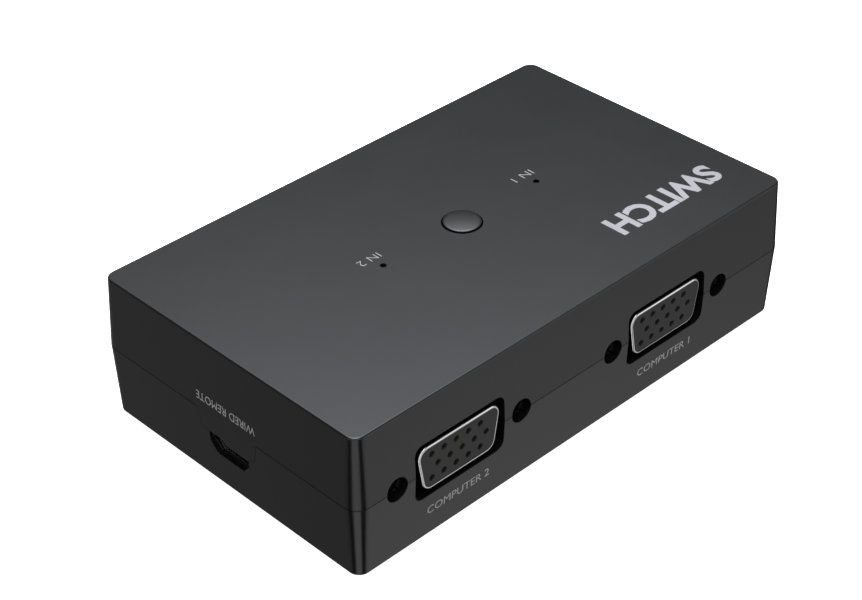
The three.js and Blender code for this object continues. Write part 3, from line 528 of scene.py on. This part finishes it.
def type_a_contacts(socket):
    """Four contacts under the tongue of a type A socket, the outer two longer."""
    low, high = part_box(f"{socket}_tongue")
    middle = (low[0] + high[0]) / 2
    for i, along in enumerate((-1.5, -0.5, 0.5, 1.5)):
        place = Vector((middle + along * TYPE_A_PITCH, high[1] - 2 * MM, 0))
        face, _ = surface_point(f"{socket}_tongue", place, DOWN)
        start = Vector((face.x, high[1] - TYPE_A_SETBACK, face.z))
        length = TYPE_A_LENGTHS[abs(along) > 1]
        name = f"{socket}_contact_{i + 1}"
        spring_contact(name, start, TO_FRONT, DOWN, TO_RIGHT, length, TYPE_A_WIDTH)


TYPE_B_HALF_PITCH = 1.25 * MM
TYPE_B_SETBACK = 1.6 * MM
TYPE_B_LENGTH = 6.5 * MM
TYPE_B_WIDTH = 1.2 * MM
TYPE_B_CAVITY_REACH = 3 * MM


def type_b_contacts(socket):
    """Two contacts above and two below the tongue of a type B socket."""
    low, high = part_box(f"{socket}_core")
    centre = Vector((high[0] - 4 * MM, (low[1] + high[1]) / 2, (low[2] + high[2]) / 2))
    for i, (row, column) in enumerate(((1, -1), (1, 1), (-1, -1), (-1, 1))):
        out = UP * row
        place = centre + TO_BACK * column * TYPE_B_HALF_PITCH
        face, _ = surface_point(f"{socket}_core", place, out, TYPE_B_CAVITY_REACH)
        start = Vector((high[0] - TYPE_B_SETBACK, face.y, face.z))
        name = f"{socket}_contact_{i + 1}"
        spring_contact(name, start, TO_LEFT, out, TO_BACK, TYPE_B_LENGTH, TYPE_B_WIDTH)


# Side view of a chip's lead, in millimetres: distance out from the chip, and height over its underside.
LEAD_SHAPE = [(-0.1, 0.55), (0.25, 0.55), (0.45, 0.12), (0.55, 0.06), (0.95, 0.05)]
LEAD_THICKNESS = 0.12 * MM
LEAD_WIDTH_SHARE = 0.45
WIDE_PITCH = 1.27 * MM
FINE_PITCH = 0.5 * MM


def gull_leads(chip, pitch, count, side):
    """Row of bent legs along one side of a chip, from its wall down to the board."""
    low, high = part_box(chip)
    middle = (Vector(low) + Vector(high)) / 2
    half = abs((Vector(high) - Vector(low)).dot(side)) / 2
    along = side.cross(UP)
    width = LEAD_WIDTH_SHARE * pitch
    for i in range(count):
        foot = middle + along * (i - (count - 1) / 2) * pitch + side * half
        base = Vector((foot.x, foot.y, low[2]))
        path = [base + side * out * MM + UP * up * MM for out, up in LEAD_SHAPE]
        strip(f"{chip}_lead", path, along, width, LEAD_THICKNESS, MATERIALS["nickel_plate"])


def tinned_leads():
    """Leads on two sides of the controller chip, and on all four of the other two chips."""
    for side in (TO_FRONT, TO_BACK):
        gull_leads("controller_chip", WIDE_PITCH, 7, side)
        for chip, count in (("video_switch_chip", 16), ("usb_hub_chip", 12)):
            gull_leads(chip, FINE_PITCH, count, side)
            gull_leads(chip, FINE_PITCH, count, side.cross(UP))


for node in frame["nodes"]:
    if "jack_nut" in node:
        thread(node)
for number in (1, 2, 3):
    type_a_contacts(f"usb_device_{number}")
for number in (1, 2):
    type_b_contacts(f"usb_computer_{number}")
tinned_leads()

# ---------------------------------------------------------------- stage and light

FLOOR_HALF = 3.0


def make_floor():
    """Plain white floor, which the object neither mirrors nor is lit by."""
    mesh = bpy.data.meshes.new("floor")
    turns = ((-1, -1), (1, -1), (1, 1), (-1, 1))
    mesh.from_pydata([(x * FLOOR_HALF, y * FLOOR_HALF, 0) for x, y in turns], [], [(0, 1, 2, 3)])
    floor = bpy.data.objects.new("floor", mesh)
    bpy.context.scene.collection.objects.link(floor)
    material, _, shader = new_material("floor_white")
    shader.inputs["Base Color"].default_value = (0.92, 0.92, 0.92, 1.0)
    shader.inputs["Roughness"].default_value = 0.9
    shader.inputs["Specular IOR Level"].default_value = 0.1
    shader.inputs["Emission Color"].default_value = (1, 1, 1, 1)
    shader.inputs["Emission Strength"].default_value = 1.0
    mesh.materials.append(material)
    floor.visible_glossy = False
    floor.visible_diffuse = False


def compass(azimuth, elevation):
    """Unit vector to that azimuth, from +X towards +Y, and elevation, both in degrees."""
    a = math.radians(azimuth)
    e = math.radians(elevation)
    return (math.cos(e) * math.cos(a), math.cos(e) * math.sin(a), math.sin(e))


# Soft patches of the studio: azimuth, elevation, outer and inner half angle, and radiance.
PATCHES = [
    (226, 30, 60, 20, 0.8),
    (308, 6, 24, 8, 1.3),
    (131, -38, 45, 22, -0.215),
    (116, -58, 28, 8, -0.07),
    (302, -44, 26, 6, 0.22),
    (340, -30, 24, 8, -0.07),
    (356, -26, 24, 12, -0.35),
    (318, -80, 26, 14, -0.4),
    (224, -38, 26, 18, 0.6),
    (185, -42, 17, 10, -0.5),
    (267, -42, 17, 10, -0.7),
]
BASE_RADIANCE = 0.14
LOW_RADIANCE = 0.45

# The main soft box: a strip over the object, in the upright plane through this azimuth. Its reach is
# in degrees from its middle, and its half widths are sines of the angle to that plane.
STRIP_AZIMUTH = 46
STRIP_ELEVATION = 78
STRIP_REACH = 49
STRIP_HALF_WIDTHS = (0.12, 0.4)
STRIP_RADIANCE = 11.0
STRIP_TINT = (0.97, 0.985, 1.06)
# Over 1, so that the strip's light still grows at its middle.
STRIP_FULL = 1.15
# Half height of the soft change between the low and the base light, as a sine.
HORIZON = 0.12


def make_world():
    """Studio light: a dim base, the soft patches and the strip box."""
    world = bpy.data.worlds.new("studio")
    bpy.context.scene.world = world
    world.use_nodes = True
    graph = Graph(world.node_tree)
    background = world.node_tree.nodes["Background"]
    direction = graph.vector("NORMALIZE", graph.add("ShaderNodeTexCoord").outputs["Generated"])
    height = graph.vector("DOT_PRODUCT", direction, (0, 0, 1))
    total = graph.smooth(height, -HORIZON, HORIZON, LOW_RADIANCE, BASE_RADIANCE)
    for azimuth, elevation, outer, inner, radiance in PATCHES:
        aligned = graph.vector("DOT_PRODUCT", direction, compass(azimuth, elevation))
        edge, full = (math.cos(math.radians(angle)) for angle in (outer, inner))
        total = graph.math("ADD", total, graph.smooth(aligned, edge, full, 0.0, radiance))
    total = graph.math("MAXIMUM", total, 0.0)
    aligned = graph.vector("DOT_PRODUCT", direction, compass(STRIP_AZIMUTH, STRIP_ELEVATION))
    reach = math.cos(math.radians(STRIP_REACH))
    along = graph.smooth(aligned, reach, STRIP_FULL, 0.0, STRIP_RADIANCE)
    sideways = graph.vector("DOT_PRODUCT", direction, compass(STRIP_AZIMUTH + 90, 0))
    across = graph.smooth(graph.math("ABSOLUTE", sideways), *STRIP_HALF_WIDTHS, 1.0, 0.0)
    soft_box = graph.add("ShaderNodeVectorMath", operation="SCALE")
    soft_box.inputs[0].default_value = STRIP_TINT
    graph.link(graph.math("MULTIPLY", along, across), soft_box.inputs["Scale"])
    colour = graph.add("ShaderNodeVectorMath", operation="ADD")
    graph.link(soft_box.outputs[0], colour.inputs[0])
    graph.link(total, colour.inputs[1])
    graph.link(colour.outputs[0], background.inputs["Color"])
    background.inputs["Strength"].default_value = 1.0


make_floor()
make_world()
bpy.context.scene.view_settings.view_transform = "Standard"
